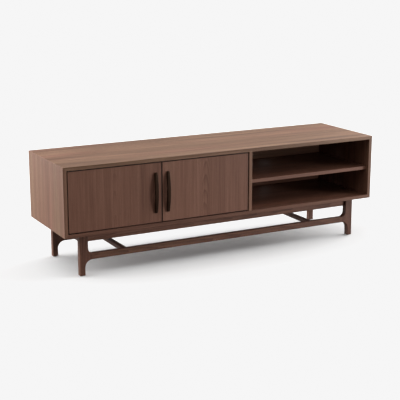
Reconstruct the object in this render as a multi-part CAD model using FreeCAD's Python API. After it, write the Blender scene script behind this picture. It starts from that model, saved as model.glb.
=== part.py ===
import FreeCAD, Part
import math
import os

# Low media console: a mitred case of walnut boards with two hinged doors on the left and an open
# bay with one shelf on the right. It stands on a jointed base frame of four legs, four aprons, two
# lower rails and two cross rails.
# Millimetres. The origin is on the floor under the middle of the case. +X runs to the right along
# the front, +Y runs to the back and +Z is up.

# Overall size
WIDTH = 1800.0
DEPTH = 488.0
HEIGHT = 560.0
CASE_HEIGHT = 348.0
BOARD = 18.0                    # every board of the case, the doors and the shelves
EASE = 1.0                      # radius of the softened board edges

# Case
DOOR_BAY = 1000.0               # clear width behind the doors
REBATE_WIDTH = 9.0              # rebate around the back edge of the case
REBATE_DEPTH = 8.0
BACK_BOARD = 6.0
BACK_PLAY = 0.5                 # between the back panel and the rebate
SPLINE_WIDTH = 12.0             # loose splines that lock the mitres
SPLINE_THICKNESS = 4.0
SPLINE_INSET = 9.0              # from the inner corner, along the mitre
SPLINE_STOP = 32.0              # how far a spline stops short of the front and back edges

# Cable ports in the back panel
PORT_RADIUS = 29.0              # hole in the panel
GROMMET_BORE = 25.0
GROMMET_FLANGE = 34.0
GROMMET_FLANGE_HEIGHT = 1.8

# Screws that hold the back panel
BACK_SCREW = (16.0, 1.5, 3.0)   # length, radius and head radius
BACK_SCREW_PITCH = 280.0
PARTITION_SCREW_SPREAD = 75.0   # above and below the middle of the partition

# Shelves on pins
SHELF_TOP = 389.0
SHELF_SETBACK = 21.0            # open bay, behind the front edge of the case
DOOR_SHELF_SETBACK = 46.0       # door bay, behind the front edge of the case
SHELF_SIDE_GAP = 1.5
SHELF_BACK_GAP = 2.0
PIN_PITCH = 32.0                # between the three heights a shelf can take
PIN_RADIUS = 2.5
PIN_DEPTH = 9.0
PIN_COLLAR_RADIUS = 4.0
PIN_COLLAR = 1.0
PIN_TAB_LENGTH = 12.0
PIN_TAB_THICKNESS = 2.0
OPEN_PIN_Y = (-190.0, 190.0)
DOOR_PIN_Y = (-165.0, 165.0)

# Doors
DOOR_GAP = 4.5                  # all round each door
DOOR_RECESS = 3.0               # door front behind the front edge of the case
PIVOT_INSET = 18.0              # hinge axis from the hinge edge of the door

# Pivot hinges, one at the top and one at the bottom of each door
PLATE_LENGTH = 70.0
PLATE_WIDTH = 12.0
PLATE_THICKNESS = 2.5
PLATE_OVERHANG = 12.0           # plate beyond the axis, on the hinge side
PLATE_SCREWS = (22.0, 48.0)     # from the axis, towards the middle of the door
HINGE_PIN_RADIUS = 2.5
HINGE_RUNNING_FIT = 0.05
HINGE_PIN_REACH = 7.0           # pin inside the door
BUSH_RADIUS = 4.0
BUSH_LENGTH = 8.0
WASHER_RADIUS = 5.5
WASHER_PLAY = 0.2
HINGE_SCREW_RADIUS = 1.75
HINGE_SCREW_HEAD = 3.4
CASE_PLATE_SCREW = 13.0         # screw lengths
DOOR_PLATE_SCREW = 25.0

# Pulls: a leaf-shaped bow with a finger gap behind it
PULL_LENGTH = 206.0
PULL_WIDTH = 20.0               # at its middle
PULL_END_WIDTH = 14.0
PULL_RISE = 15.5                # front of the bow from the door
PULL_END = 6.5                  # height of the bow at its ends
PULL_BAR = 8.0                  # thickness of the bow at its middle
PULL_GRIP = 152.0               # length of the finger gap
PULL_ROUND = 3.2
PULL_INSET = 31.0               # centre line from the free edge of the door
PULL_SCREW_SPACING = 176.0
PULL_SCREW = 25.0
PULL_SCREW_RADIUS = 2.0
PULL_SCREW_HEAD = 4.0
PULL_SCREW_HEAD_HEIGHT = 2.4

# Magnetic catch under the top, where the doors meet
CATCH_WIDTH = 50.0
CATCH_DEPTH = 15.0
CATCH_HEIGHT = 18.0
CATCH_EAR = 12.0
CATCH_EAR_HEIGHT = 4.0
CATCH_GAP = 0.2
MAGNET_PROUD = 0.3              # magnets stand this far out of the housing
CATCH_SCREW = (14.0, 1.5, 3.0)  # length, radius and head radius
MAGNET_OFFSET = 13.0
MAGNET_HEIGHT = 6.0             # middle of the magnets above the bottom of the housing
MAGNET_SIZE = (14.0, 8.0, 8.0)
STRIKE_RADIUS = 7.0
STRIKE_THICKNESS = 1.5
STRIKE_SCREW = (10.0, 1.5, 2.9)

# Base frame
LEG_OUTER_X = 811.0             # outer faces of the legs from the middle
LEG_SETBACK = 40.0              # legs behind the front edge of the case
LEG_DEPTH = 30.0
LEG_WIDTH = 45.0
FOOT_WIDTH = 28.0
EAR_WIDTH = 76.0                # leg where it meets the lower rail
UPPER_CURVE = 28.0
LOWER_CURVE = 38.0
RAIL_BOTTOM = 80.0
RAIL_TOP = 110.0
FRAME_ROUND = 3.0               # rounded long edges of the legs and rails
APRON_BOTTOM = 170.0
APRON_THICKNESS = 20.0
APRON_SETBACK = 12.0            # front and rear aprons behind the faces of the legs
SIDE_APRON_SETBACK = 6.0
CROSS_RAIL_X = 556.0
CROSS_RAIL_WIDTH = 28.0
CROSS_RAIL_BOTTOM = 84.0
CROSS_RAIL_TOP = 103.0
GLIDE_HEIGHT = 3.0
GLIDE_RADIUS = 10.0
BLOCK_SIZE = 75.0               # corner blocks inside the aprons
BLOCK_HEIGHT = 30.0
BLOCK_NOSE = 12.0
BLOCK_SCREW = (28.0, 2.0, 4.0)  # length, radius and head radius
BLOCK_SCREW_ALONG = 50.0        # from the corner the two aprons make
BLOCK_UNDER_HEAD = 12.0         # timber left between a screw's head and the apron
COUNTERBORE_RADIUS = 4.5
BOLT_OFFSET = 26.0              # bolt from the two faces the block is fixed to

# Bolts up through the corner blocks into threaded inserts in the case
BOLT_LENGTH = 40.0
BOLT_RADIUS = 3.0
BOLT_HEAD_RADIUS = 5.0
BOLT_HEAD = 6.0
BOLT_KEY_RADIUS = 2.9
BOLT_HOLE_RADIUS = 3.3
BOLT_WASHER_RADIUS = 9.0
BOLT_WASHER_BORE = 3.2
BOLT_WASHER = 1.6
INSERT_RADIUS = 5.0
INSERT_LENGTH = 13.0

# Dowels
DOWEL_RADIUS = 4.0
DOWEL_LENGTH = 40.0
CASE_DOWEL_LENGTH = 30.0
CASE_DOWEL_IN_BOARD = 11.0
CASE_DOWEL_Y = (-180.0, 0.0, 180.0)
APRON_DOWEL_EDGE = 12.5         # from the lower and upper edges of the aprons
RAIL_DOWEL_OFFSET = 7.0         # either side of the middle of a rail

# Where the main faces lie
FRONT = -DEPTH / 2
BACK = DEPTH / 2
CASE_BOTTOM = HEIGHT - CASE_HEIGHT
INSIDE_LEFT = -WIDTH / 2 + BOARD
INSIDE_RIGHT = WIDTH / 2 - BOARD
INSIDE_BOTTOM = CASE_BOTTOM + BOARD
INSIDE_TOP = HEIGHT - BOARD
INSIDE_BACK = BACK - REBATE_DEPTH
PARTITION_LEFT = INSIDE_LEFT + DOOR_BAY
PARTITION_RIGHT = PARTITION_LEFT + BOARD
DOOR_FRONT = FRONT + DOOR_RECESS
DOOR_BACK = DOOR_FRONT + BOARD
DOOR_BOTTOM = INSIDE_BOTTOM + DOOR_GAP
DOOR_TOP = INSIDE_TOP - DOOR_GAP
DOOR_WIDTH = (DOOR_BAY - 3 * DOOR_GAP) / 2
DOORS_MEET = INSIDE_LEFT + DOOR_BAY / 2
HINGE_Y = (DOOR_FRONT + DOOR_BACK) / 2
LEG_FRONT = FRONT + LEG_SETBACK
LEG_BACK = LEG_FRONT + LEG_DEPTH
LEG_INNER_X = LEG_OUTER_X - LEG_WIDTH
RAIL_END_X = LEG_OUTER_X - EAR_WIDTH
SHELF_BOTTOM = SHELF_TOP - BOARD

LEFT, RIGHT = -1, 1
FORWARD = FreeCAD.Vector(0, -1, 0)
BACKWARD = FreeCAD.Vector(0, 1, 0)
UP = FreeCAD.Vector(0, 0, 1)
DOWN = FreeCAD.Vector(0, 0, -1)
TOWARDS = {LEFT: FreeCAD.Vector(-1, 0, 0), RIGHT: FreeCAD.Vector(1, 0, 0)}

nodes = {}


# Shape helpers

def point(x, y, z):
    return FreeCAD.Vector(x, y, z)


def block(x0, x1, y0, y1, z0, z1):
    """Box between two corners, given in any order."""
    low = point(min(x0, x1), min(y0, y1), min(z0, z1))
    return Part.makeBox(abs(x1 - x0), abs(y1 - y0), abs(z1 - z0), low)


def cylinder(radius, length, start, direction):
    return Part.makeCylinder(radius, length, start, direction)


def turned(outline):
    """Solid of revolution about Z from (radius, height) corners."""
    corners = [point(radius, 0, height) for radius, height in outline]
    face = Part.Face(Part.makePolygon(corners + corners[:1]))
    return face.revolve(point(0, 0, 0), UP, 360)


def placed(shape, start, direction):
    """Copy of a shape made along -Z, moved so that it points along direction from start."""
    moved = shape.copy()
    moved.Placement = FreeCAD.Placement(start, FreeCAD.Rotation(DOWN, direction))
    return moved


def single(shape):
    """The one solid that a boolean leaves."""
    return shape.Solids[0]


def rounded(shape, radius, wanted):
    """Shape with each edge that wanted() accepts rounded."""
    return single(shape.makeFillet(radius, [edge for edge in shape.Edges if wanted(edge)]))


def runs_along(edge, axis):
    """True when a straight edge is parallel to the axis: 0 for X, 1 for Y, 2 for Z."""
    if edge.Curve.TypeId != "Part::GeomLine":
        return False
    return abs(abs(edge.Curve.Direction[axis]) - 1) < 1e-6


def lies_on(edge, axis, level):
    """True when the whole edge lies in the plane across the axis at the given level."""
    box = edge.BoundBox
    low = (box.XMin, box.YMin, box.ZMin)[axis]
    high = (box.XMax, box.YMax, box.ZMax)[axis]
    return abs(low - level) < 1e-4 and abs(high - level) < 1e-4


def mirrored_x(shape):
    return shape.mirror(point(0, 0, 0), point(1, 0, 0))


def mirrored_y(shape):
    return shape.mirror(point(0, 0, 0), point(0, 1, 0))


# Fasteners, made along -Z with the top of the head at the origin

def cross_recess(radius, depth):
    width = radius / 4
    bars = block(-radius * 0.6, radius * 0.6, -width, width, -depth, depth)
    return bars.fuse(block(-width, width, -radius * 0.6, radius * 0.6, -depth, depth))


def countersunk_body(length, radius, head_radius):
    head = head_radius - radius
    tip = 2 * radius
    return turned([(0, 0), (head_radius, 0), (radius, -head), (radius, tip - length), (0, -length)])


def countersunk_screw(length, radius, head_radius):
    recess = cross_recess(head_radius, (head_radius - radius) * 0.8)
    return single(countersunk_body(length, radius, head_radius).cut(recess))


def pan_body(length, radius, head_radius, head_height):
    """Machine screw: the head stands above the origin and the shank runs down from it."""
    shoulder = head_radius * 0.7
    return turned([(0, head_height), (shoulder, head_height), (head_radius, head_height * 0.4),
                   (head_radius, 0), (radius, 0), (radius, -length), (0, -length)])


def socket_bolt(length, radius, head_radius, head_height, key_radius):
    body = turned([(0, head_height), (head_radius - 0.6, head_height), (head_radius, head_height - 0.6),
                   (head_radius, 0), (radius, 0), (radius, -length), (0, -length)])
    angles = [math.radians(60 * side) for side in range(6)]
    corners = [point(key_radius * math.cos(a), key_radius * math.sin(a), head_height) for a in angles]
    key = Part.Face(Part.makePolygon(corners + corners[:1])).extrude(point(0, 0, -head_height / 2))
    return single(body.cut(key))


def dowel(length):
    chamfer = 1.0
    inner = DOWEL_RADIUS - chamfer
    return turned([(0, 0), (inner, 0), (DOWEL_RADIUS, -chamfer), (DOWEL_RADIUS, chamfer - length),
                   (inner, -length), (0, -length)])


# Case boards

def case_ring():
    """The four case boards as one hollow frame, with every outer and front arris eased."""
    outer = block(-WIDTH / 2, WIDTH / 2, FRONT, BACK, CASE_BOTTOM, HEIGHT)
    outer = rounded(outer, EASE, lambda edge: True)
    inner = block(INSIDE_LEFT, INSIDE_RIGHT, FRONT - 1, BACK + 1, INSIDE_BOTTOM, INSIDE_TOP)
    return single(outer.cut(inner))


def mitred_board(ring, outline):
    """The part of the ring inside a wedge whose edges follow the mitres."""
    corners = [point(x, FRONT - 1, z) for x, z in outline]
    wedge = Part.Face(Part.makePolygon(corners + corners[:1])).extrude(point(0, DEPTH + 2, 0))
    return single(ring.common(wedge))


def case_boards():
    ring = case_ring()
    reach = 40.0                # wedges run this far past the ring, along the mitres
    far_x = WIDTH / 2 + reach
    high = HEIGHT + reach
    low = CASE_BOTTOM - reach
    near_x = WIDTH / 2 - BOARD - 10
    ceiling = INSIDE_TOP - 10
    ground = INSIDE_BOTTOM + 10
    boards = {
        "top_panel": [(-far_x, high), (-near_x, ceiling), (near_x, ceiling), (far_x, high)],
        "bottom_panel": [(-far_x, low), (-near_x, ground), (near_x, ground), (far_x, low)],
        "left_side_panel": [(-far_x, high), (-near_x, ceiling), (-near_x, ground), (-far_x, low)],
        "right_side_panel": [(far_x, high), (near_x, ceiling), (near_x, ground), (far_x, low)],
    }
    rebate = block(INSIDE_LEFT - REBATE_WIDTH, INSIDE_RIGHT + REBATE_WIDTH, INSIDE_BACK, BACK + 1,
                   INSIDE_BOTTOM - REBATE_WIDTH, INSIDE_TOP + REBATE_WIDTH)
    return {name: single(mitred_board(ring, outline).cut(rebate)) for name, outline in boards.items()}


def mitre_splines():
    """Flat strips across the four mitres, stopped short of the front and back edges."""
    splines = []
    for side in (LEFT, RIGHT):
        for inner_z, lean in ((INSIDE_TOP, 1), (INSIDE_BOTTOM, -1)):
            step = SPLINE_INSET / math.sqrt(2)
            strip = block(-SPLINE_WIDTH / 2, SPLINE_WIDTH / 2, FRONT + SPLINE_STOP, BACK - SPLINE_STOP,
                          -SPLINE_THICKNESS / 2, SPLINE_THICKNESS / 2)
            strip.rotate(point(0, 0, 0), point(0, 1, 0), 45 * side * lean)
            strip.translate(point(side * (INSIDE_RIGHT + step), 0, inner_z + lean * step))
            splines.append(strip)
    return splines


def partition_panel():
    panel = block(PARTITION_LEFT, PARTITION_RIGHT, FRONT, INSIDE_BACK, INSIDE_BOTTOM, INSIDE_TOP)
    return rounded(panel, EASE, lambda edge: runs_along(edge, 2) and lies_on(edge, 1, FRONT))


def partition_dowels():
    peg = dowel(CASE_DOWEL_LENGTH)
    middle = (PARTITION_LEFT + PARTITION_RIGHT) / 2
    pegs = []
    for y in CASE_DOWEL_Y:
        pegs.append(placed(peg, point(middle, y, INSIDE_TOP + CASE_DOWEL_IN_BOARD), DOWN))
        pegs.append(placed(peg, point(middle, y, INSIDE_BOTTOM - CASE_DOWEL_IN_BOARD), UP))
    return pegs


def port_centres():
    """One cable port above and one below the shelf, in the middle of each bay."""
    bay_middles = (DOORS_MEET, (PARTITION_RIGHT + INSIDE_RIGHT) / 2)
    heights = ((INSIDE_BOTTOM + SHELF_BOTTOM) / 2, (SHELF_TOP + INSIDE_TOP) / 2)
    return [(x, z) for x in bay_middles for z in heights]


def back_panel():
    reach = REBATE_WIDTH - BACK_PLAY
    panel = block(INSIDE_LEFT - reach, INSIDE_RIGHT + reach, INSIDE_BACK, INSIDE_BACK + BACK_BOARD,
                  INSIDE_BOTTOM - reach, INSIDE_TOP + reach)
    holes = [cylinder(PORT_RADIUS, BACK_BOARD + 2, point(x, INSIDE_BACK - 1, z), BACKWARD)
             for x, z in port_centres()]
    return single(panel.cut(holes))


def cable_grommets():
    """A flanged plastic ring in each port, with a rounded mouth on the outside."""
    length = BACK_BOARD + GROMMET_FLANGE_HEIGHT
    lip = 0.8
    ring = turned([(GROMMET_BORE, -length), (PORT_RADIUS, -length), (PORT_RADIUS, -GROMMET_FLANGE_HEIGHT),
                   (GROMMET_FLANGE, -GROMMET_FLANGE_HEIGHT), (GROMMET_FLANGE, -lip),
                   (GROMMET_FLANGE - lip, 0), (GROMMET_BORE + lip, 0), (GROMMET_BORE, -lip)])
    outside = INSIDE_BACK + BACK_BOARD + GROMMET_FLANGE_HEIGHT
    return [placed(ring, point(x, outside, z), FORWARD) for x, z in port_centres()]


def back_screw_places():
    """Screws along the rebate all round, and down the back edge of the partition."""
    rim = REBATE_WIDTH / 2
    columns = [BACK_SCREW_PITCH * step for step in range(-3, 4)]
    places = [(x, z) for x in columns for z in (INSIDE_BOTTOM - rim, INSIDE_TOP + rim)]
    middle_z = (INSIDE_BOTTOM + INSIDE_TOP) / 2
    places += [(INSIDE_LEFT - rim, middle_z), (INSIDE_RIGHT + rim, middle_z)]
    middle_x = (PARTITION_LEFT + PARTITION_RIGHT) / 2
    spread = PARTITION_SCREW_SPREAD
    return places + [(middle_x, middle_z - spread), (middle_x, middle_z + spread)]


def back_screws(make):
    screw = make(*BACK_SCREW)
    face = INSIDE_BACK + BACK_BOARD
    return [placed(screw, point(x, face, z), FORWARD) for x, z in back_screw_places()]


# Shelves

def shelf(left, right, setback):
    board = block(left + SHELF_SIDE_GAP, right - SHELF_SIDE_GAP, FRONT + setback,
                  INSIDE_BACK - SHELF_BACK_GAP, SHELF_BOTTOM, SHELF_TOP)
    front = FRONT + setback
    return rounded(board, EASE, lambda edge: runs_along(edge, 0) and lies_on(edge, 1, front))


def shelf_pin():
    """Spoon pin along -Z: the shank points down and the shelf rests on the tab's +Y face."""
    shank = cylinder(PIN_RADIUS, PIN_DEPTH, point(0, 0, -PIN_DEPTH), UP)
    collar = cylinder(PIN_COLLAR_RADIUS, PIN_COLLAR, point(0, 0, 0), UP)
    tab = block(-PIN_COLLAR_RADIUS, PIN_COLLAR_RADIUS, PIN_COLLAR_RADIUS - PIN_TAB_THICKNESS,
                PIN_COLLAR_RADIUS, 0, PIN_TAB_LENGTH)
    tip = [edge for edge in tab.Edges if runs_along(edge, 1) and lies_on(edge, 2, PIN_TAB_LENGTH)]
    tab = tab.makeFillet(PIN_COLLAR_RADIUS - 0.5, tip)
    web = Part.Face(Part.makePolygon([point(-1, -2, 0), point(-1, 3, 0), point(-1, 3, 9), point(-1, -2, 0)]))
    web = web.extrude(point(2, 0, 0))
    return single(shank.fuse([collar, tab, web]).removeSplitter())


def pin_places(left, right, rows_y):
    """(wall x, side of the bay, y) for the four pins of one shelf."""
    return [(x, side, y) for x, side in ((left, LEFT), (right, RIGHT)) for y in rows_y]


def shelf_pins(left, right, rows_y):
    pin = shelf_pin()
    pins = []
    for x, side, y in pin_places(left, right, rows_y):
        upright = pin.copy()
        upright.rotate(point(0, 0, 0), point(1, 0, 0), 90)
        upright.rotate(point(0, 0, 0), point(0, 0, 1), -90 * side)
        upright.translate(point(x, y, SHELF_BOTTOM - PIN_COLLAR_RADIUS))
        pins.append(upright)
    return pins


def pin_holes(left, right, rows_y):
    """Blind holes at three heights; the middle ones hold the pins."""
    holes = []
    for x, side, y in pin_places(left, right, rows_y):
        for step in (-1, 0, 1):
            start = point(x, y, SHELF_BOTTOM - PIN_COLLAR_RADIUS + step * PIN_PITCH)
            holes.append(cylinder(PIN_RADIUS, PIN_DEPTH, start, TOWARDS[side]))
    return holes


# Hinges. hinge_side is LEFT for the left door and RIGHT for the right door.

def hinge_x(hinge_side):
    edge = INSIDE_LEFT if hinge_side == LEFT else PARTITION_LEFT
    return edge - hinge_side * (DOOR_GAP + PIVOT_INSET)


def hinge_ends():
    """(face of the case board, face of the door edge, direction into the case board)."""
    return ((INSIDE_TOP, DOOR_TOP, UP), (INSIDE_BOTTOM, DOOR_BOTTOM, DOWN))


def plate_blank(hinge_side, level, into):
    """Flat strip with round ends, let in flush below the face at level."""
    axis = hinge_x(hinge_side)
    outer = axis + hinge_side * PLATE_OVERHANG
    inner = axis - hinge_side * (PLATE_LENGTH - PLATE_OVERHANG)
    strip = block(outer, inner, HINGE_Y - PLATE_WIDTH / 2, HINGE_Y + PLATE_WIDTH / 2,
                  level, level + into.z * PLATE_THICKNESS)
    return rounded(strip, PLATE_WIDTH / 2 - 0.1, lambda edge: runs_along(edge, 2))


def plate_screws(make, hinge_side, level, into, length):
    screw = make(length, HINGE_SCREW_RADIUS, HINGE_SCREW_HEAD)
    axis = hinge_x(hinge_side)
    return [placed(screw, point(axis - hinge_side * reach, HINGE_Y, level), into) for reach in PLATE_SCREWS]


def hinge_pin(hinge_side, case_level, into):
    """Pin pressed into the case plate; its free end stands in the door."""
    start = case_level + into.z * PLATE_THICKNESS
    length = PLATE_THICKNESS + DOOR_GAP + HINGE_PIN_REACH
    pin = turned([(0, 0), (HINGE_PIN_RADIUS, 0), (HINGE_PIN_RADIUS, 0.5 - length),
                  (HINGE_PIN_RADIUS - 0.5, -length), (0, -length)])
    return placed(pin, point(hinge_x(hinge_side), HINGE_Y, start), into * -1)


def hinge_washer(hinge_side, case_level, into):
    thickness = DOOR_GAP - WASHER_PLAY
    start = point(hinge_x(hinge_side), HINGE_Y, case_level)
    ring = cylinder(WASHER_RADIUS, thickness, start, into * -1)
    return single(ring.cut(cylinder(HINGE_PIN_RADIUS, thickness, start, into * -1)))


def case_side_hinge(hinge_side):
    """Plates, pins and washers that stay with the case, and the recesses they need."""
    plates, pins, washers, recesses = [], [], [], []
    for case_level, door_level, into in hinge_ends():
        blank = plate_blank(hinge_side, case_level, into)
        pin = hinge_pin(hinge_side, case_level, into)
        screw_seats = plate_screws(countersunk_body, hinge_side, case_level, into, CASE_PLATE_SCREW)
        plates.append(single(blank.cut([pin] + screw_seats)))
        pins.append(pin)
        washers.append(hinge_washer(hinge_side, case_level, into))
        recesses += [blank] + screw_seats
    return plates, pins, washers, recesses


def door_side_hinge(hinge_side):
    """Plates and bushes in the door's edges, and the recesses they need."""
    bore = HINGE_PIN_RADIUS + HINGE_RUNNING_FIT
    plates, bushes, recesses = [], [], []
    for case_level, door_level, into in hinge_ends():
        inward = into * -1
        start = point(hinge_x(hinge_side), HINGE_Y, door_level)
        blank = plate_blank(hinge_side, door_level, inward)
        screw_seats = plate_screws(countersunk_body, hinge_side, door_level, inward, DOOR_PLATE_SCREW)
        pin_way = cylinder(bore, BUSH_LENGTH + PLATE_THICKNESS, start, inward)
        plates.append(single(blank.cut([pin_way] + screw_seats)))
        bush_start = start + inward * PLATE_THICKNESS
        bush = cylinder(BUSH_RADIUS, BUSH_LENGTH, bush_start, inward)
        bushes.append(single(bush.cut(pin_way)))
        recesses += [blank, bush] + screw_seats
    return plates, bushes, recesses


# Doors

def door_edges(hinge_side):
    """(hinge edge, free edge) of a door, as X."""
    hinge_edge = hinge_x(hinge_side) + hinge_side * PIVOT_INSET
    return hinge_edge, hinge_edge - hinge_side * DOOR_WIDTH


def pull_x(hinge_side):
    return door_edges(hinge_side)[1] + hinge_side * PULL_INSET


def pull(hinge_side):
    """Bow with its ends on the door: arched outside, hollowed behind the grip, widest at its middle."""
    middle = (DOOR_BOTTOM + DOOR_TOP) / 2
    half = PULL_LENGTH / 2
    grip = PULL_GRIP / 2
    end = PULL_END_WIDTH / 2

    def at(across, out, along):
        return point(pull_x(hinge_side) + across, DOOR_FRONT - out, middle + along)

    side = -PULL_WIDTH
    hollow = PULL_RISE - PULL_BAR
    arch = Part.Arc(at(side, PULL_END, -half), at(side, PULL_RISE, 0), at(side, PULL_END, half))
    underside = Part.Arc(at(side, 0, grip), at(side, hollow, 0), at(side, 0, -grip))
    profile = [Part.makeLine(at(side, 0, -half), at(side, PULL_END, -half)),
               arch.toShape(),
               Part.makeLine(at(side, PULL_END, half), at(side, 0, half)),
               Part.makeLine(at(side, 0, half), at(side, 0, grip)),
               underside.toShape(),
               Part.makeLine(at(side, 0, -grip), at(side, 0, -half))]
    bow = Part.Face(Part.Wire(profile)).extrude(point(2 * PULL_WIDTH, 0, 0))
    right = Part.Arc(at(end, 0, -half), at(PULL_WIDTH / 2, 0, 0), at(end, 0, half))
    left = Part.Arc(at(-end, 0, half), at(-PULL_WIDTH / 2, 0, 0), at(-end, 0, -half))
    outline = [right.toShape(),
               Part.makeLine(at(end, 0, half), at(-end, 0, half)),
               left.toShape(),
               Part.makeLine(at(-end, 0, -half), at(end, 0, -half))]
    leaf = Part.Face(Part.Wire(outline)).extrude(FORWARD * (2 * PULL_RISE))
    pull_body = single(bow.common(leaf))
    return rounded(pull_body, PULL_ROUND, lambda edge: not lies_on(edge, 1, DOOR_FRONT))


def pull_screws(hinge_side):
    body = pan_body(PULL_SCREW, PULL_SCREW_RADIUS, PULL_SCREW_HEAD, PULL_SCREW_HEAD_HEIGHT)
    recess = cross_recess(PULL_SCREW_HEAD, PULL_SCREW_HEAD_HEIGHT * 0.7)
    recess.translate(point(0, 0, PULL_SCREW_HEAD_HEIGHT))
    screw = single(body.cut(recess))
    middle = (DOOR_BOTTOM + DOOR_TOP) / 2
    heights = (middle - PULL_SCREW_SPACING / 2, middle + PULL_SCREW_SPACING / 2)
    return [placed(screw, point(pull_x(hinge_side), DOOR_BACK, z), FORWARD) for z in heights]


def strike_place(hinge_side):
    height = INSIDE_TOP - CATCH_HEIGHT + MAGNET_HEIGHT
    return point(DOORS_MEET + hinge_side * MAGNET_OFFSET, DOOR_BACK, height)


def door(hinge_side, name):
    """Door board with its pull, strike and hinge parts."""
    hinge_edge, free_edge = door_edges(hinge_side)
    board = block(hinge_edge, free_edge, DOOR_FRONT, DOOR_BACK, DOOR_BOTTOM, DOOR_TOP)
    board = rounded(board, EASE, lambda edge: lies_on(edge, 1, DOOR_FRONT))
    plates, bushes, recesses = door_side_hinge(hinge_side)
    grip_screws = pull_screws(hinge_side)
    strike_start = strike_place(hinge_side) + BACKWARD * STRIKE_THICKNESS
    seat = placed(countersunk_body(*STRIKE_SCREW), strike_start, FORWARD)
    strike = turned([(0, 0), (STRIKE_RADIUS - 0.4, 0), (STRIKE_RADIUS, -0.4),
                     (STRIKE_RADIUS, -STRIKE_THICKNESS), (0, -STRIKE_THICKNESS)])
    strike = placed(strike, strike_start, FORWARD)
    nodes[name + "_door_panel"] = single(board.cut(recesses + grip_screws + [seat]))
    nodes[name + "_door_pull"] = single(pull(hinge_side).cut(grip_screws))
    nodes[name + "_door_pull_screws"] = grip_screws
    nodes[name + "_door_hinge_plates"] = plates
    nodes[name + "_door_hinge_bushes"] = bushes
    nodes[name + "_door_hinge_screws"] = [
        screw for case_level, door_level, into in hinge_ends()
        for screw in plate_screws(countersunk_screw, hinge_side, door_level, into * -1, DOOR_PLATE_SCREW)]
    nodes[name + "_door_strike_plate"] = single(strike.cut(seat))
    nodes[name + "_door_strike_screw"] = placed(countersunk_screw(*STRIKE_SCREW), strike_start, FORWARD)


# Magnetic catch

def magnetic_catch():
    """Plastic housing with ears, a magnet for each door, and two screws."""
    front = DOOR_BACK + STRIKE_THICKNESS + CATCH_GAP
    half = CATCH_WIDTH / 2
    bottom = INSIDE_TOP - CATCH_HEIGHT
    body = block(DOORS_MEET - half, DOORS_MEET + half, front + MAGNET_PROUD, front + CATCH_DEPTH,
                 bottom, INSIDE_TOP)
    body = rounded(body, 1.5, lambda edge: runs_along(edge, 2) or lies_on(edge, 2, bottom))
    reach = half + CATCH_EAR
    ears = block(DOORS_MEET - reach, DOORS_MEET + reach, front + 2, front + CATCH_DEPTH - 2,
                 INSIDE_TOP - CATCH_EAR_HEIGHT, INSIDE_TOP)
    ears = rounded(ears, 4.0, lambda edge: runs_along(edge, 2))
    width, depth, height = MAGNET_SIZE
    magnets = []
    low = bottom + MAGNET_HEIGHT - height / 2
    for side in (LEFT, RIGHT):
        x = DOORS_MEET + side * MAGNET_OFFSET
        magnets.append(block(x - width / 2, x + width / 2, front, front + depth, low, low + height))
    middle = front + CATCH_DEPTH / 2
    places = [point(DOORS_MEET + side * (half + CATCH_EAR / 2), middle, INSIDE_TOP - CATCH_EAR_HEIGHT)
              for side in (LEFT, RIGHT)]
    seats = [placed(countersunk_body(*CATCH_SCREW), place, UP) for place in places]
    screws = [placed(countersunk_screw(*CATCH_SCREW), place, UP) for place in places]
    housing = single(body.fuse(ears).removeSplitter().cut(magnets + seats))
    return housing, magnets, screws, seats


# Base frame

def leg_outline():
    """Front-left leg in XZ: a straight outer face, a slim foot and curves into the lower rail."""
    outer = -LEG_OUTER_X
    foot = outer + FOOT_WIDTH
    inner = outer + LEG_WIDTH
    rail = outer + EAR_WIDTH
    lower_x = foot + LOWER_CURVE
    lower_z = RAIL_BOTTOM - LOWER_CURVE
    upper_x = inner + UPPER_CURVE
    upper_z = RAIL_TOP + UPPER_CURVE
    bend = math.sqrt(0.5)

    def at(x, z):
        return point(x, LEG_FRONT, z)

    lower_middle = at(lower_x - LOWER_CURVE * bend, lower_z + LOWER_CURVE * bend)
    upper_middle = at(upper_x - UPPER_CURVE * bend, upper_z - UPPER_CURVE * bend)
    return [Part.makeLine(at(outer, GLIDE_HEIGHT), at(outer, CASE_BOTTOM)),
            Part.makeLine(at(outer, CASE_BOTTOM), at(inner, CASE_BOTTOM)),
            Part.makeLine(at(inner, CASE_BOTTOM), at(inner, upper_z)),
            Part.Arc(at(inner, upper_z), upper_middle, at(upper_x, RAIL_TOP)).toShape(),
            Part.makeLine(at(upper_x, RAIL_TOP), at(rail, RAIL_TOP)),
            Part.makeLine(at(rail, RAIL_TOP), at(rail, RAIL_BOTTOM)),
            Part.makeLine(at(rail, RAIL_BOTTOM), at(lower_x, RAIL_BOTTOM)),
            Part.Arc(at(lower_x, RAIL_BOTTOM), lower_middle, at(foot, lower_z)).toShape(),
            Part.makeLine(at(foot, lower_z), at(foot, GLIDE_HEIGHT)),
            Part.makeLine(at(foot, GLIDE_HEIGHT), at(outer, GLIDE_HEIGHT))]


def front_left_leg():
    blank = Part.Face(Part.Wire(leg_outline())).extrude(point(0, LEG_DEPTH, 0))
    ends = ((2, CASE_BOTTOM), (0, -RAIL_END_X), (2, GLIDE_HEIGHT))

    def long_edge(edge):
        on_face = lies_on(edge, 1, LEG_FRONT) or lies_on(edge, 1, LEG_BACK)
        return on_face and not any(lies_on(edge, axis, level) for axis, level in ends)

    return rounded(blank, FRAME_ROUND, long_edge)


def rail(x0, x1, y0, y1, z0, z1, radius):
    """Straight member, rounded along its length."""
    axis = 0 if abs(x1 - x0) > abs(y1 - y0) else 1
    return rounded(block(x0, x1, y0, y1, z0, z1), radius, lambda edge: runs_along(edge, axis))


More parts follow.
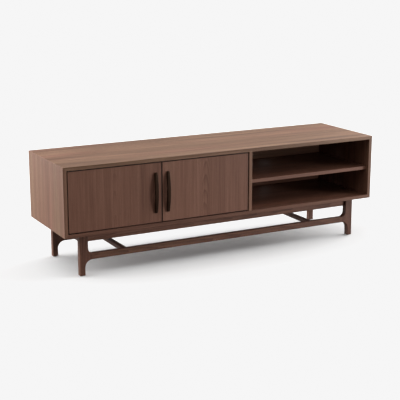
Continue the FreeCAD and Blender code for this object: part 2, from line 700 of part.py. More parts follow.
def apron(x0, x1, y0, y1):
    """Apron under the case, rounded along its lower edges only."""
    axis = 0 if abs(x1 - x0) > abs(y1 - y0) else 1
    board = block(x0, x1, y0, y1, APRON_BOTTOM, CASE_BOTTOM)
    return rounded(board, 2.0, lambda edge: runs_along(edge, axis) and lies_on(edge, 2, APRON_BOTTOM))


def corner_block():
    """Block that ties the front and left aprons together, with a square nose at each end."""
    x = -LEG_OUTER_X + SIDE_APRON_SETBACK + APRON_THICKNESS
    y = LEG_FRONT + APRON_SETBACK + APRON_THICKNESS
    far = BLOCK_SIZE
    outline = [(x, y), (x + far, y), (x + far, y + BLOCK_NOSE), (x + BLOCK_NOSE, y + far), (x, y + far)]
    corners = [point(px, py, CASE_BOTTOM - BLOCK_HEIGHT) for px, py in outline]
    body = Part.Face(Part.makePolygon(corners + corners[:1])).extrude(point(0, 0, BLOCK_HEIGHT))
    return body, x, y


def block_screws(make, x, y):
    """One screw into each apron. Its head sits at the bottom of a counterbore."""
    screw = make(*BLOCK_SCREW)
    z = CASE_BOTTOM - BLOCK_HEIGHT / 2
    return [placed(screw, point(x + BLOCK_SCREW_ALONG, y + BLOCK_UNDER_HEAD, z), FORWARD),
            placed(screw, point(x + BLOCK_UNDER_HEAD, y + BLOCK_SCREW_ALONG, z), TOWARDS[LEFT])]


def counterbores(x, y):
    z = CASE_BOTTOM - BLOCK_HEIGHT / 2
    front_start = point(x + BLOCK_SCREW_ALONG, y + BLOCK_UNDER_HEAD, z)
    side_start = point(x + BLOCK_UNDER_HEAD, y + BLOCK_SCREW_ALONG, z)
    return [cylinder(COUNTERBORE_RADIUS, BLOCK_SIZE, front_start, BACKWARD),
            cylinder(COUNTERBORE_RADIUS, BLOCK_SIZE, side_start, TOWARDS[RIGHT])]


def base_dowels_front_left():
    """The dowels of one quarter of the base: aprons, lower rail and cross rail."""
    peg = dowel(DOWEL_LENGTH)
    half = DOWEL_LENGTH / 2
    apron_y = LEG_FRONT + APRON_SETBACK + APRON_THICKNESS / 2
    side_x = -LEG_OUTER_X + SIDE_APRON_SETBACK + APRON_THICKNESS / 2
    apron_heights = (APRON_BOTTOM + APRON_DOWEL_EDGE, CASE_BOTTOM - APRON_DOWEL_EDGE)
    middle_y = LEG_FRONT + LEG_DEPTH / 2
    rail_z = (RAIL_BOTTOM + RAIL_TOP) / 2
    cross_z = (CROSS_RAIL_BOTTOM + CROSS_RAIL_TOP) / 2
    pegs = []
    for z in apron_heights:
        pegs.append(placed(peg, point(-LEG_INNER_X - half, apron_y, z), TOWARDS[RIGHT]))
        pegs.append(placed(peg, point(side_x, LEG_BACK - half + 2, z), BACKWARD))
    for offset in (-RAIL_DOWEL_OFFSET, RAIL_DOWEL_OFFSET):
        pegs.append(placed(peg, point(-RAIL_END_X - half, middle_y + offset, rail_z), TOWARDS[RIGHT]))
        pegs.append(placed(peg, point(-CROSS_RAIL_X + offset, LEG_BACK - half, cross_z), BACKWARD))
    return pegs


def four_corners(shapes):
    """Copies of the front-left pieces in all four corners."""
    quarter = list(shapes)
    half = quarter + [mirrored_x(shape) for shape in quarter]
    return half + [mirrored_y(shape) for shape in half]


def foot_glide():
    """Nylon disc with its nail driven into the foot."""
    chamfer = 1.0
    nail = 1.4
    glide = turned([(0, 0), (GLIDE_RADIUS - chamfer, 0), (GLIDE_RADIUS, chamfer),
                    (GLIDE_RADIUS, GLIDE_HEIGHT), (nail, GLIDE_HEIGHT), (nail, GLIDE_HEIGHT + 14),
                    (0, GLIDE_HEIGHT + 17)])
    glide.translate(point(-LEG_OUTER_X + FOOT_WIDTH / 2, LEG_FRONT + LEG_DEPTH / 2, 0))
    return glide


def base_frame():
    """Legs, aprons, rails, corner blocks and all that joins them to each other and to the case."""
    pegs = four_corners(base_dowels_front_left())
    glides = four_corners([foot_glide()])
    leg = front_left_leg()
    legs = {"front_left_leg": leg, "front_right_leg": mirrored_x(leg),
            "rear_left_leg": mirrored_y(leg), "rear_right_leg": mirrored_x(mirrored_y(leg))}
    for name, shape in legs.items():
        nodes[name] = single(shape.cut(pegs + glides))

    block_body, block_x, block_y = corner_block()
    screws = four_corners(block_screws(countersunk_screw, block_x, block_y))
    seats = four_corners(block_screws(countersunk_body, block_x, block_y))
    apron_front = LEG_FRONT + APRON_SETBACK
    apron_outer = LEG_OUTER_X - SIDE_APRON_SETBACK
    front_apron = apron(-LEG_INNER_X, LEG_INNER_X, apron_front, apron_front + APRON_THICKNESS)
    side_apron = apron(-apron_outer, -apron_outer + APRON_THICKNESS, LEG_BACK, -LEG_BACK)
    aprons = {"front_apron": front_apron, "rear_apron": mirrored_y(front_apron),
              "left_side_apron": side_apron, "right_side_apron": mirrored_x(side_apron)}
    for name, shape in aprons.items():
        nodes[name] = single(shape.cut(pegs + seats))

    lower = rail(-RAIL_END_X, RAIL_END_X, LEG_FRONT, LEG_BACK, RAIL_BOTTOM, RAIL_TOP, FRAME_ROUND)
    nodes["front_lower_rail"] = single(lower.cut(pegs))
    nodes["rear_lower_rail"] = single(mirrored_y(lower).cut(pegs))
    half = CROSS_RAIL_WIDTH / 2
    cross = rail(-CROSS_RAIL_X - half, -CROSS_RAIL_X + half, LEG_BACK, -LEG_BACK,
                 CROSS_RAIL_BOTTOM, CROSS_RAIL_TOP, 2.0)
    nodes["left_cross_rail"] = single(cross.cut(pegs))
    nodes["right_cross_rail"] = single(mirrored_x(cross).cut(pegs))

    bolt_x = block_x + BOLT_OFFSET
    bolt_y = block_y + BOLT_OFFSET
    under_block = point(bolt_x, bolt_y, CASE_BOTTOM - BLOCK_HEIGHT)
    under_washer = under_block + DOWN * BOLT_WASHER
    case_face = point(bolt_x, bolt_y, CASE_BOTTOM)
    bolt_way = cylinder(BOLT_HOLE_RADIUS, BLOCK_HEIGHT, under_block, UP)
    blocks = single(block_body.cut([bolt_way] + counterbores(block_x, block_y)
                                   + block_screws(countersunk_body, block_x, block_y)))
    bolt = socket_bolt(BOLT_LENGTH, BOLT_RADIUS, BOLT_HEAD_RADIUS, BOLT_HEAD, BOLT_KEY_RADIUS)
    bolt = placed(bolt, under_washer, UP)
    washer = cylinder(BOLT_WASHER_RADIUS, BOLT_WASHER, under_washer, UP)
    washer = single(washer.cut(cylinder(BOLT_WASHER_BORE, BOLT_WASHER, under_washer, UP)))
    insert_hole = cylinder(INSERT_RADIUS, INSERT_LENGTH, case_face, UP)
    insert = single(insert_hole.cut(cylinder(BOLT_RADIUS, INSERT_LENGTH, case_face, UP)))
    nodes["corner_blocks"] = four_corners([blocks])
    nodes["corner_block_screws"] = screws
    nodes["base_bolts"] = four_corners([bolt])
    nodes["base_bolt_washers"] = four_corners([washer])
    nodes["threaded_inserts"] = four_corners([insert])
    nodes["base_dowels"] = pegs
    nodes["foot_glides"] = glides
    return four_corners([insert_hole])


def case():
    """Case boards with their joints, back, shelves, catch and the fixed halves of the hinges."""
    insert_holes = base_frame()
    housing, magnets, catch_screws, catch_seats = magnetic_catch()
    splines = mitre_splines()
    pegs = partition_dowels()
    back_seats = back_screws(countersunk_body)
    recesses = []
    for hinge_side, name in ((LEFT, "left"), (RIGHT, "right")):
        plates, pins, washers, cut_outs = case_side_hinge(hinge_side)
        nodes[name + "_hinge_case_plates"] = plates
        nodes[name + "_hinge_pins"] = pins
        nodes[name + "_hinge_washers"] = washers
        recesses += cut_outs
        door(hinge_side, name)
    nodes["hinge_case_screws"] = [
        screw for hinge_side in (LEFT, RIGHT) for case_level, door_level, into in hinge_ends()
        for screw in plate_screws(countersunk_screw, hinge_side, case_level, into, CASE_PLATE_SCREW)]

    open_holes = pin_holes(PARTITION_RIGHT, INSIDE_RIGHT, OPEN_PIN_Y)
    door_holes = pin_holes(INSIDE_LEFT, PARTITION_LEFT, DOOR_PIN_Y)
    cuts = splines + pegs + back_seats + recesses + open_holes + door_holes + insert_holes + catch_seats
    for name, board in case_boards().items():
        nodes[name] = single(board.cut(cuts))
    nodes["partition_panel"] = single(partition_panel().cut(pegs + back_seats + open_holes + door_holes))
    nodes["back_panel"] = single(back_panel().cut(back_seats))
    nodes["back_panel_screws"] = back_screws(countersunk_screw)
    nodes["cable_grommets"] = cable_grommets()
    nodes["mitre_splines"] = splines
    nodes["partition_dowels"] = pegs
    nodes["open_bay_shelf"] = shelf(PARTITION_RIGHT, INSIDE_RIGHT, SHELF_SETBACK)
    nodes["open_bay_shelf_pins"] = shelf_pins(PARTITION_RIGHT, INSIDE_RIGHT, OPEN_PIN_Y)
    nodes["door_bay_shelf"] = shelf(INSIDE_LEFT, PARTITION_LEFT, DOOR_SHELF_SETBACK)
    nodes["door_bay_shelf_pins"] = shelf_pins(INSIDE_LEFT, PARTITION_LEFT, DOOR_PIN_Y)
    nodes["catch_housing"] = housing
    nodes["catch_magnets"] = magnets
    nodes["catch_screws"] = catch_screws


case()
os.makedirs("parts", exist_ok=True)
for node_name, node_shape in nodes.items():
    whole = Part.makeCompound(node_shape) if isinstance(node_shape, list) else node_shape
    whole.exportStep("parts/" + node_name + ".step")
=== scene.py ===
"""Looks for a walnut TV stand with two doors and an open bay: materials, floor, light and camera.

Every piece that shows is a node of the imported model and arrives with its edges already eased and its
screw heads, splines and grommets already modelled. What is made here is the timber with its lacquer,
and the plastics and metals. Lengths are metres: X to the right, Y to the back, Z up.
"""
import math
import bpy
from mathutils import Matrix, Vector


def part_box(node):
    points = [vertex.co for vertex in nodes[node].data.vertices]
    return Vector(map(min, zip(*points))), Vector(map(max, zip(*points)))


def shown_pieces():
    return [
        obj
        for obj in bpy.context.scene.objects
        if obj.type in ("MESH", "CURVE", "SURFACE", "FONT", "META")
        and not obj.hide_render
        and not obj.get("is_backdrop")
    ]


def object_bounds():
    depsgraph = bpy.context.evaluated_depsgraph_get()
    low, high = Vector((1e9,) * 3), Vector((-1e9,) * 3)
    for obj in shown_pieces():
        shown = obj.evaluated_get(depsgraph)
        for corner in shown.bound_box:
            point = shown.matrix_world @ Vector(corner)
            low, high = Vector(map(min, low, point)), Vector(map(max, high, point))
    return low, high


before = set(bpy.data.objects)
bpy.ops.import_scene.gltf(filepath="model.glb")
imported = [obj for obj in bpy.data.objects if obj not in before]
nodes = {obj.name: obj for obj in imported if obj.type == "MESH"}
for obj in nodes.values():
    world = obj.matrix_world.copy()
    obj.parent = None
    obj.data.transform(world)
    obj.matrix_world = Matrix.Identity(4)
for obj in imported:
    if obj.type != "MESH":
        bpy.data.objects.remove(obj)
cad_low, cad_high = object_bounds()

# Camera: where it stands, how far it is turned to the right and tipped down, and its lens.
CAMERA_PLACE = Vector((-2.571, -4.738, 1.570))
CAMERA_TURN = math.radians(28.11)
CAMERA_TIP = math.radians(13.77)
CAMERA_LENS = 93.26
SENSOR_WIDTH = 36.0

# The sky is a sum of soft lobes, each a heading in degrees from the front towards the right, a height
# in degrees above the floor, and a brightness. The low ones at the sides pass under the case.
SKY_LOBES = (
    (0.0, 50.0, 0.58),
    (0.0, 14.0, 0.16),
    (90.0, 50.0, 1.05),
    (92.0, 12.0, 10.2),
    (180.0, 50.0, 1.60),
    (115.0, 12.0, 0.9),
    (203.0, 12.0, 1.7),
    (262.0, 50.0, 2.1),
    (246.0, 12.0, 3.7),
)
LOBE_POWER = 8.0                # how sharply a lobe falls off away from its middle
OVERHEAD = 0.26
OVERHEAD_BAND = (0.55, 0.95)    # height of the sky over which the overhead light comes in
SKY_LOWEST = 0.05
BACKDROP = 1.4                  # the plain backdrop behind the stand
REFLECTED_LIMIT = 0.8           # the brightest sky that a surface reflects

FLOOR_HALF = 150.0
FLOOR_COLOUR = (1.0, 1.0, 1.0, 1.0)
FLOOR_ROUGHNESS = 0.9

# Display: tones above the shoulder are drawn in so that white is held at the white point.
WHITE_POINT = 0.92
SHOULDER = 0.85
WHOLE_CURVE = 3                 # the curve that acts on all three colours

# Softboxes round the stand: place, what they face, width and power, and which boards they spare or
# fall on alone. The top takes the left softbox without its reflection, which would glare on it.
RIGHT_BOX = dict(place=(2.9, -2.3, 0.62), facing=(0.0, -0.24, 0.39), size=0.9, power=60.0,
                 spared=("back_panel",))
LEFT_PLACE = dict(place=(-2.0, 1.3, 1.0), facing=(-0.9, 0.0, 0.39), size=0.8, power=31.0)
LEFT_BOX = dict(LEFT_PLACE, spared=("top_panel",))
LEFT_TOP_BOX = dict(LEFT_PLACE, only=("top_panel",), shines=False)
BAY_FILL = dict(place=(0.6, -3.2, 0.35), facing=(0.5, 0.0, 0.36), size=1.0, power=14.0,
                only=("back_panel", "open_bay_shelf", "partition_panel"))
TOP_BOX = dict(place=(2.2, 0.1, 1.7), facing=(0.9, 0.0, 0.56), size=0.8, power=19.0,
               only=("top_panel",))

# Walnut under satin lacquer, as linear RGB from its darkest latewood to its palest sapwood streaks.
WALNUT_DARK = (0.098, 0.045, 0.026)
WALNUT_MIDDLE = (0.186, 0.094, 0.057)
WALNUT_PALE = (0.275, 0.153, 0.098)
# The next colour is that of the pores, and also of the painted shade laid along the door edges.
WALNUT_PORE_AND_GAP_SHADE = (0.045, 0.022, 0.014)
WALNUT_RED = (1.05, 0.90, 0.92)
WALNUT_TAN = (0.985, 1.02, 0.95)

# Walnut in section. Rings, pores and edges are in metres or counts per metre.
LOG_STEP = (3.7, 1.9, 0.83)     # from one board's stretch of the log to the next
HEART_BEND = 0.10
RINGS_PER_METRE = 210.0
RING_SWELL = 3.0
LATEWOOD_POWER = 2.2            # how suddenly a ring ends in its dark latewood
FIBRE_WEIGHT = 0.30
DRIFT_WEIGHT = 0.35
RAMP_PLACES = (0.12, 0.5, 0.88)
PORE_SOFTNESS = 0.10
PORE_SHARE = 0.55
PORE_CROWD = (0.66, 0.60)       # noise above which a pore shows, in sparse and in crowded bands
EDGE_WIDTH = 0.0026
EDGE_WEAR = (0.04, 0.30)        # least and most rubbing along an edge
# Painted shade along the door edges, for the dark gaps round the doors: full up to the first distance
# from an edge, gone by the second.
GAP_SHADE_BAND = (0.0006, 0.0026)
LACQUER_ROUGHNESS = 0.46
LACQUER_IOR = 1.38
GRAIN_DEPTH = 0.00012

# Stained pulls
PULL_DARK = (0.009, 0.004, 0.002)
PULL_PALE = (0.030, 0.012, 0.006)
PULL_ROUGHNESS = 0.40
PULL_IOR = 1.30
PULL_SHEEN_TINT = (1.0, 0.62, 0.42, 1.0)

# Depth of the bumps in the other finishes, and the roughness of raw timber
TIMBER_DEPTH = 0.0001
TIMBER_ROUGHNESS = 0.6
SCRATCH_DEPTH = 0.00004
GRIT_DEPTH = 0.00006

X, Y, Z = 0, 1, 2


class Graph:
    """A material's or world's node tree, with a short call for each kind of node used here."""

    def __init__(self, owner):
        self.owner = owner
        owner.use_nodes = True
        self.tree = owner.node_tree
        self.tree.nodes.clear()

    @classmethod
    def of_material(cls, name):
        return cls(bpy.data.materials.new(name))

    def node(self, kind, **settings):
        made = self.tree.nodes.new(kind)
        for key, value in settings.items():
            setattr(made, key, value)
        return made

    def feed(self, socket, value):
        """Links the socket to a node's output, or sets it to a plain value."""
        if isinstance(value, bpy.types.NodeSocket):
            self.tree.links.new(value, socket)
        else:
            socket.default_value = value

    def math(self, operation, *values):
        made = self.node("ShaderNodeMath", operation=operation)
        for socket, value in zip(made.inputs, values):
            self.feed(socket, value)
        return made.outputs[0]

    def gap(self, value, low, high):
        """How far a value between low and high is from the nearer of them."""
        return self.math("MINIMUM", self.math("SUBTRACT", value, low), self.math("SUBTRACT", high, value))

    def vector(self, operation, *values):
        made = self.node("ShaderNodeVectorMath", operation=operation)
        for socket, value in zip(made.inputs, values):
            self.feed(socket, value)
        return made.outputs[0]

    def split(self, vector):
        made = self.node("ShaderNodeSeparateXYZ")
        self.feed(made.inputs[0], vector)
        return list(made.outputs)

    def join(self, x, y, z):
        made = self.node("ShaderNodeCombineXYZ")
        for socket, value in zip(made.inputs, (x, y, z)):
            self.feed(socket, value)
        return made.outputs[0]

    def noise(self, place, scales, detail=2.0, roughness=0.5):
        """Smooth noise from 0 to 1, with its own number of waves per metre along each axis."""
        made = self.node("ShaderNodeTexNoise")
        self.feed(made.inputs["Vector"], self.vector("MULTIPLY", place, scales))
        made.inputs["Scale"].default_value = 1.0
        made.inputs["Detail"].default_value = detail
        made.inputs["Roughness"].default_value = roughness
        return made.outputs["Fac"]

    def spread(self, value, low, high, to_low=0.0, to_high=1.0):
        """Moves low..high smoothly to to_low..to_high and holds it there outside that stretch."""
        made = self.node("ShaderNodeMapRange", interpolation_type="SMOOTHSTEP")
        for socket, number in zip(made.inputs, (value, low, high, to_low, to_high)):
            self.feed(socket, number)
        return made.outputs[0]

    def mix(self, share, first, second, blend="MIX"):
        made = self.node("ShaderNodeMix", data_type="RGBA", blend_type=blend)
        self.feed(made.inputs[0], share)
        for socket, colour in zip(made.inputs[6:8], (first, second)):
            self.feed(socket, (*colour, 1.0) if isinstance(colour, tuple) else colour)
        return made.outputs[2]

    def ramp(self, value, stops):
        made = self.node("ShaderNodeValToRGB")
        ramp = made.color_ramp
        while len(ramp.elements) < len(stops):
            ramp.elements.new(0.5)
        for element, (place, colour) in zip(ramp.elements, stops):
            element.position = place
            element.color = (*colour, 1.0)
        self.feed(made.inputs[0], value)
        return made.outputs[0]

    def bump(self, height, depth, strength):
        """A normal from a height of 0 to 1 that stands for depth metres."""
        made = self.node("ShaderNodeBump")
        made.inputs["Strength"].default_value = strength
        made.inputs["Distance"].default_value = depth
        self.feed(made.inputs["Height"], height)
        return made.outputs[0]

    def finish(self, colour, roughness, normal=None, **constants):
        """Ends the tree in one Principled shader, with the constants on the shader's own sockets."""
        shader = self.node("ShaderNodeBsdfPrincipled")
        self.feed(shader.inputs["Base Color"], colour)
        self.feed(shader.inputs["Roughness"], roughness)
        if normal is not None:
            self.feed(shader.inputs["Normal"], normal)
        for name, value in constants.items():
            shader.inputs[name.replace("_", " ")].default_value = value
        output = self.node("ShaderNodeOutputMaterial")
        self.tree.links.new(shader.outputs[0], output.inputs[0])
        return self.owner


def sum_of(graph, parts):
    """Adds (value, weight) parts, each counted from its middle of a half, to a half."""
    total = 0.5
    for value, weight in parts:
        centred = graph.math("SUBTRACT", value, 0.5)
        total = graph.math("MULTIPLY_ADD", centred, weight, total)
    return total


def edge_share(graph, split, low, high, width):
    """1 on the edges of the box from low to high, falling to 0 at width from them."""
    gaps = [graph.gap(split[axis], low[axis], high[axis]) for axis in (X, Y, Z)]
    least = graph.math("MINIMUM", gaps[0], gaps[1])
    most = graph.math("MAXIMUM", gaps[0], gaps[1])
    second = graph.math("MAXIMUM", least, graph.math("MINIMUM", most, gaps[2]))
    return graph.spread(second, 0.0, width, 1.0, 0.0)


def walnut(node, along, deep, number, tone_and_shade=0.0, red=0.0, figure=0.75, rings=0.0, pith=0.09,
           tilt=0.02, stain=0.0):
    """Walnut for one board: grain along one axis and through the board along another.

    number sets which stretch of the log the board shows. tone_and_shade lightens or darkens it, partly
    for the board's own colour and partly as painted light and shade; red moves its hue, figure is the
    weight of its bands and streaks, rings that of its growth rings, pith is how far the log's heart lies
    behind the board, and tilt is how steeply the heart runs away from the face, which draws the
    cathedral arches. stain is how dark the painted shade is on the board's narrow sides, which
    stands for the shade in the gaps round the doors.
    """
    low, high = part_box(node)
    middle = (low + high) / 2
    across = 3 - along - deep
    graph = Graph.of_material("walnut_" + node)
    here = graph.split(graph.node("ShaderNodeTexCoord").outputs["Object"])
    centred = [graph.math("SUBTRACT", here[axis], middle[axis]) for axis in (along, across, deep)]
    place = graph.join(*centred)
    shift = tuple(step * number for step in LOG_STEP)
    grain = graph.vector("ADD", place, shift)

    # The log's heart: a line behind the board, bent by slow growth, round which the rings lie.
    bend = graph.noise(grain, (1.3, 5.0, 5.0), detail=2.0)
    bent = graph.math("MULTIPLY_ADD", bend, HEART_BEND, -HEART_BEND / 2)
    sideways = graph.math("ADD", centred[1], bent)
    lean = graph.math("MULTIPLY_ADD", centred[0], tilt, pith)
    behind = graph.math("ADD", centred[2], lean)
    reach = graph.math("SQRT", graph.math("ADD", graph.math("POWER", sideways, 2.0),
                                          graph.math("POWER", behind, 2.0)))
    swell = graph.noise(grain, (2.0, 20.0, 20.0), detail=3.0)
    swollen = graph.math("MULTIPLY", swell, RING_SWELL)
    ring_count = graph.math("MULTIPLY_ADD", reach, RINGS_PER_METRE, swollen)
    phase = graph.math("FRACT", ring_count)
    late = graph.math("POWER", phase, LATEWOOD_POWER)
    latewood = graph.math("SUBTRACT", 1.0, late)

    bands = graph.noise(grain, (0.9, 26.0, 26.0), detail=3.0, roughness=0.55)
    streaks = graph.noise(grain, (2.2, 130.0, 130.0), detail=3.0, roughness=0.6)
    fibres = graph.noise(grain, (14.0, 1500.0, 1500.0), detail=1.0)
    drift = graph.noise(grain, (0.7, 4.0, 4.0), detail=1.0)

    shade = sum_of(graph, ((bands, figure), (streaks, figure), (fibres, FIBRE_WEIGHT),
                           (latewood, rings), (drift, DRIFT_WEIGHT)))
    # The board is lightened or darkened: partly its own colour, and for the boards lining the open bay
    # and for the aprons, painted shade and painted light.
    shade = graph.math("ADD", shade, tone_and_shade)
    colour = graph.ramp(shade, tuple(zip(RAMP_PLACES, (WALNUT_DARK, WALNUT_MIDDLE, WALNUT_PALE))))
    hue = graph.noise(grain, (0.8, 9.0, 9.0), detail=2.0)
    hue = graph.spread(hue, 0.3 - red, 0.7 - red)
    tint = graph.mix(hue, WALNUT_TAN, WALNUT_RED)
    colour = graph.mix(1.0, colour, tint, "MULTIPLY")

    # Pores: short dark slits a few millimetres long, closer together in some bands than others.
    slits = graph.noise(grain, (170.0, 3300.0, 3300.0), detail=0.0)
    crowd = graph.spread(bands, 0.35, 0.65, *PORE_CROWD)
    pores = graph.spread(slits, crowd, graph.math("ADD", crowd, PORE_SOFTNESS))
    colour = graph.mix(graph.math("MULTIPLY", pores, PORE_SHARE), colour, WALNUT_PORE_AND_GAP_SHADE)

    edge = edge_share(graph, here, low, high, EDGE_WIDTH)
    rub = graph.noise(grain, (30.0, 60.0, 60.0), detail=2.0)
    wear = graph.math("MULTIPLY", edge, graph.spread(rub, 0.35, 0.7, *EDGE_WEAR))
    colour = graph.mix(wear, colour, WALNUT_PALE)

    # Painted shade: the narrow sides of a door and a thin band round its faces are darkened to stand for
    # the shade in the gaps round the doors.
    if stain:
        sides = [graph.gap(here[axis], low[axis], high[axis]) for axis in (along, across)]
        nearest = graph.math("MINIMUM", *sides)
        gap_shaded = graph.spread(nearest, *GAP_SHADE_BAND, stain, 0.0)
        colour = graph.mix(gap_shaded, colour, WALNUT_PORE_AND_GAP_SHADE)

    smears = graph.noise(place, (7.0, 9.0, 9.0), detail=3.0)
    gloss = graph.math("MULTIPLY_ADD", smears, 0.10, LACQUER_ROUGHNESS)
    gloss = graph.math("MULTIPLY_ADD", fibres, 0.06, gloss)
    gloss = graph.math("MULTIPLY_ADD", pores, 0.18, gloss)
    height = graph.math("MULTIPLY_ADD", pores, -1.0, graph.math("MULTIPLY", fibres, 0.35))
    normal = graph.bump(height, GRAIN_DEPTH, 0.6)
    return graph.finish(colour, gloss, normal, IOR=LACQUER_IOR)


def paint(node, material):
    """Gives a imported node's every material slot the material."""
    for slot in nodes[node].material_slots:
        slot.material = material


# Each board's lightening or darkening is partly its own colour and partly painted light and shade: the
# boards that line the open bay (bottom panel, bay shelf, back panel, right side panel) are darker as
# painted shade for the shade inside the bay, and the aprons, in the shade under the case, are lighter
# than the legs and rails as painted light.
WALNUT_BOARDS = {
    "top_panel": dict(along=X, deep=Z, number=1, red=-0.12, figure=1.6),
    "bottom_panel": dict(along=X, deep=Z, number=2, tone_and_shade=-0.20, red=0.25),
    "door_bay_shelf": dict(along=X, deep=Z, number=3),
    "open_bay_shelf": dict(along=X, deep=Z, number=4, tone_and_shade=-0.16, red=0.25),
    "back_panel": dict(along=X, deep=Y, number=5, tone_and_shade=-0.10, red=0.1),
    "left_side_panel": dict(along=Z, deep=X, number=6, tone_and_shade=0.02),
    "right_side_panel": dict(along=Z, deep=X, number=7, tone_and_shade=-0.12, red=0.1),
    "partition_panel": dict(along=Z, deep=X, number=8, tone_and_shade=0.10),
    # The doors take painted shade along their edges, for the gaps round them.
    "left_door_panel": dict(along=Z, deep=Y, number=9, red=0.25, figure=0.65, rings=0.14, pith=0.05,
                            tilt=0.05, stain=0.9),
    "right_door_panel": dict(along=Z, deep=Y, number=10, red=0.25, figure=0.6, rings=0.28, pith=0.036,
                             tilt=0.07, stain=0.9),
    "front_apron": dict(along=X, deep=Y, number=11, tone_and_shade=-0.14, red=0.2, rings=0.3),
    "rear_apron": dict(along=X, deep=Y, number=12, tone_and_shade=-0.14, red=0.2, rings=0.3),
    "left_side_apron": dict(along=Y, deep=X, number=13, tone_and_shade=-0.14, red=0.2, rings=0.3),
    "right_side_apron": dict(along=Y, deep=X, number=14, tone_and_shade=-0.14, red=0.2, rings=0.3),
    "front_lower_rail": dict(along=X, deep=Y, number=15, tone_and_shade=-0.36, red=0.2, rings=0.3),
    "rear_lower_rail": dict(along=X, deep=Y, number=16, tone_and_shade=-0.36, red=0.2, rings=0.3),
    "left_cross_rail": dict(along=Y, deep=Z, number=17, tone_and_shade=-0.36, red=0.2, rings=0.3),
    "right_cross_rail": dict(along=Y, deep=Z, number=18, tone_and_shade=-0.36, red=0.2, rings=0.3),
    "front_left_leg": dict(along=Z, deep=Y, number=19, tone_and_shade=-0.36, red=0.2, rings=0.3),
    "front_right_leg": dict(along=Z, deep=Y, number=20, tone_and_shade=-0.36, red=0.2, rings=0.3),
    "rear_left_leg": dict(along=Z, deep=Y, number=21, tone_and_shade=-0.36, red=0.2, rings=0.3),
    "rear_right_leg": dict(along=Z, deep=Y, number=22, tone_and_shade=-0.36, red=0.2, rings=0.3),
}


def stained_pull(node, number):
    """Near-black stained timber with a low sheen, its grain just showing through."""
    graph = Graph.of_material("stained_" + node)
    place = graph.node("ShaderNodeTexCoord").outputs["Object"]
    grain = graph.vector("ADD", place, (number, 0.7 * number, 1.3 * number))
    streaks = graph.noise(grain, (260.0, 260.0, 5.0), detail=3.0, roughness=0.6)
    slits = graph.noise(grain, (3000.0, 3000.0, 160.0), detail=0.0)
    pores = graph.spread(slits, 0.6, 0.7)
    colour = graph.ramp(streaks, ((0.25, PULL_DARK), (0.75, PULL_PALE)))
    touched = graph.noise(place, (60.0, 60.0, 25.0), detail=2.0)
    gloss = graph.math("MULTIPLY_ADD", touched, 0.18, PULL_ROUGHNESS)
    gloss = graph.math("MULTIPLY_ADD", pores, 0.2, gloss)
    height = graph.math("SUBTRACT", graph.math("MULTIPLY", streaks, 0.4), pores)
    return graph.finish(colour, gloss, graph.bump(height, TIMBER_DEPTH, 0.5), IOR=PULL_IOR,
                        Specular_Tint=PULL_SHEEN_TINT)


def pale_timber(name, dark, pale, across):
    """Raw beech or birch: pale wood with short darker flecks."""
    graph = Graph.of_material(name)
    place = graph.node("ShaderNodeTexCoord").outputs["Object"]
    streaks = graph.noise(place, (12.0, across, across), detail=3.0)
    flecks = graph.spread(graph.noise(place, (300.0, 1800.0, 1800.0), detail=0.0), 0.58, 0.68)
    colour = graph.ramp(streaks, ((0.3, dark), (0.7, pale)))
    colour = graph.mix(graph.math("MULTIPLY", flecks, 0.4), colour, dark)
    gloss = graph.math("MULTIPLY_ADD", streaks, 0.15, TIMBER_ROUGHNESS)
    height = graph.math("SUBTRACT", streaks, flecks)
    return graph.finish(colour, gloss, graph.bump(height, TIMBER_DEPTH, 0.6))


def metal(name, dull, bright, rough, grit):
    """Plated or turned metal: fine scratches and a slightly clouded plating."""
    graph = Graph.of_material(name)
    place = graph.node("ShaderNodeTexCoord").outputs["Object"]
    cloud = graph.noise(place, (160.0, 160.0, 160.0), detail=3.0)
    scratch = graph.noise(place, (grit, grit * 0.1, grit), detail=2.0)
    colour = graph.mix(graph.spread(cloud, 0.3, 0.7), dull, bright)
    gloss = graph.math("MULTIPLY_ADD", scratch, 0.15, rough)
    return graph.finish(colour, gloss, graph.bump(scratch, SCRATCH_DEPTH, 0.5), Metallic=1.0)


def plastic(name, dark, pale, rough, grain):
    """Moulded plastic with a fine spark-eroded texture."""
    graph = Graph.of_material(name)
    place = graph.node("ShaderNodeTexCoord").outputs["Object"]
    grit = graph.noise(place, (grain, grain, grain), detail=2.0)
    cloud = graph.noise(place, (40.0, 40.0, 40.0), detail=2.0)
    colour = graph.mix(cloud, dark, pale)
    gloss = graph.math("MULTIPLY_ADD", grit, 0.2, rough)
    return graph.finish(colour, gloss, graph.bump(grit, GRIT_DEPTH, 0.5))


def paint_small_parts():
    """Gives the fittings the finish that their packed slot names, and the hinges a near-black one as
    painted shade, which keeps the gaps round the doors dark.
    """
    finishes = {
        "beech": pale_timber("beech", (0.42, 0.27, 0.15), (0.60, 0.43, 0.27), 240.0),
        "birch_ply": pale_timber("birch_ply", (0.46, 0.33, 0.19), (0.66, 0.52, 0.34), 700.0),
        "brass": metal("brass", (0.50, 0.34, 0.13), (0.70, 0.52, 0.24), 0.30, 900.0),
        "zinc_steel": metal("zinc_steel", (0.36, 0.37, 0.38), (0.56, 0.57, 0.58), 0.34, 900.0),
        "magnet": metal("nickel", (0.42, 0.41, 0.38), (0.62, 0.60, 0.56), 0.22, 500.0),
        "nylon": plastic("nylon", (0.52, 0.50, 0.44), (0.66, 0.64, 0.58), 0.45, 1200.0),
        "black_plastic": plastic("black_plastic", (0.010, 0.010, 0.011), (0.018, 0.018, 0.019),
                                 0.48, 1500.0),
    }
    # Painted shade: the hinges are near black, not plated zinc, so that they stay dark in the gaps round
    # the doors.
    burnished = metal("burnished_steel", (0.030, 0.027, 0.025), (0.070, 0.064, 0.058), 0.42, 900.0)
    for node, piece in nodes.items():
        slot = piece.material_slots[0].material.name.split(".")[0]
        if slot in finishes:
            paint(node, burnished if "hinge" in node else finishes[slot])


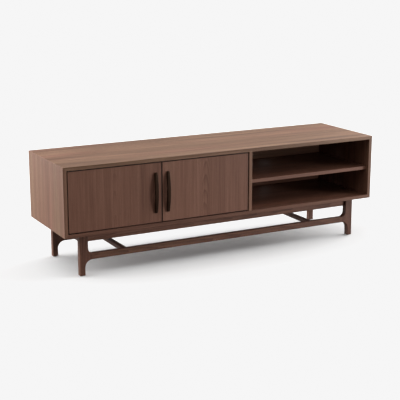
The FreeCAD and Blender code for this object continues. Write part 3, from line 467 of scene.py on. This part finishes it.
def floor():
    """A wide pale floor under the stand."""
    mesh = bpy.data.meshes.new("floor")
    corners = [(-FLOOR_HALF, -FLOOR_HALF), (FLOOR_HALF, -FLOOR_HALF),
               (FLOOR_HALF, FLOOR_HALF), (-FLOOR_HALF, FLOOR_HALF)]
    mesh.from_pydata([(x, y, cad_low.z) for x, y in corners], [], [(0, 1, 2, 3)])
    made = bpy.data.objects.new("floor", mesh)
    bpy.context.scene.collection.objects.link(made)
    graph = Graph.of_material("floor")
    mesh.materials.append(graph.finish(FLOOR_COLOUR, FLOOR_ROUGHNESS, Specular_IOR_Level=0.0))
    made.visible_diffuse = False
    made.visible_glossy = False
    made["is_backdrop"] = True


def sky():
    """Soft studio light from all round, in front of a plain pale backdrop."""
    world = bpy.data.worlds.new("studio")
    bpy.context.scene.world = world
    graph = Graph(world)
    towards = graph.node("ShaderNodeTexCoord").outputs["Generated"]
    overhead = graph.spread(graph.split(towards)[Z], *OVERHEAD_BAND)
    level = graph.math("MULTIPLY_ADD", overhead, OVERHEAD, SKY_LOWEST)
    for heading, height, brightness in SKY_LOBES:
        turn, rise = math.radians(heading), math.radians(height)
        middle = (math.sin(turn) * math.cos(rise), -math.cos(turn) * math.cos(rise), math.sin(rise))
        facing = graph.node("ShaderNodeVectorMath", operation="DOT_PRODUCT")
        graph.feed(facing.inputs[0], towards)
        graph.feed(facing.inputs[1], middle)
        near = graph.math("POWER", graph.math("MAXIMUM", facing.outputs["Value"], 0.0), LOBE_POWER)
        level = graph.math("MULTIPLY_ADD", near, brightness, level)
    ray = graph.node("ShaderNodeLightPath").outputs
    held = graph.math("MINIMUM", level, REFLECTED_LIMIT)
    for kind, wanted in (("Is Glossy Ray", held), ("Is Camera Ray", BACKDROP)):
        difference = graph.math("SUBTRACT", wanted, level)
        level = graph.math("MULTIPLY_ADD", difference, ray[kind], level)
    light = graph.node("ShaderNodeBackground")
    graph.feed(light.inputs["Strength"], level)
    output = graph.node("ShaderNodeOutputWorld")
    graph.tree.links.new(light.outputs[0], output.inputs[0])


def tones():
    """Plain display of the colours, with everything brighter than the pale floor held at its tone."""
    view = bpy.context.scene.view_settings
    view.view_transform = "Standard"
    view.use_curve_mapping = True
    mapping = view.curve_mapping
    mapping.extend = "HORIZONTAL"
    curve = mapping.curves[WHOLE_CURVE]
    curve.points[0].location = (0.0, 0.0)
    curve.points[1].location = (1.0, WHITE_POINT)
    curve.points.new(SHOULDER, SHOULDER)
    for point in curve.points:
        point.handle_type = "VECTOR"
    mapping.update()


def softbox(name, place, facing, size, power, spared=(), only=(), shines=True):
    """A square soft light that misses the floor and the spared nodes, or falls on only a few.

    One that doesn't shine lights a surface without being reflected in it.
    """
    data = bpy.data.lights.new(name, "AREA")
    data.size = size
    data.energy = power
    made = bpy.data.objects.new(name, data)
    made.location = place
    made.rotation_euler = (Vector(place) - Vector(facing)).to_track_quat("Z", "Y").to_euler()
    bpy.context.scene.collection.objects.link(made)
    lit = bpy.data.collections.new(name + "_falls_on")
    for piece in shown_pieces():
        if piece.name not in spared and (not only or piece.name in only):
            lit.objects.link(piece)
    made.light_linking.receiver_collection = lit
    made.visible_camera = False
    made.visible_glossy = shines


def camera():
    data = bpy.data.cameras.new("camera")
    data.lens = CAMERA_LENS
    data.sensor_width = SENSOR_WIDTH
    made = bpy.data.objects.new("camera", data)
    made.location = CAMERA_PLACE
    made.rotation_euler = (math.pi / 2 - CAMERA_TIP, 0.0, -CAMERA_TURN)
    bpy.context.scene.collection.objects.link(made)
    bpy.context.scene.camera = made


for board, character in WALNUT_BOARDS.items():
    paint(board, walnut(board, **character))
paint("left_door_pull", stained_pull("left_door_pull", 1.0))
paint("right_door_pull", stained_pull("right_door_pull", 2.0))
paint_small_parts()
floor()
sky()
softbox("right_softbox", **RIGHT_BOX)
softbox("left_softbox", **LEFT_BOX)
softbox("left_top_softbox", **LEFT_TOP_BOX)
softbox("bay_fill", **BAY_FILL)
softbox("top_softbox", **TOP_BOX)
camera()
tones()
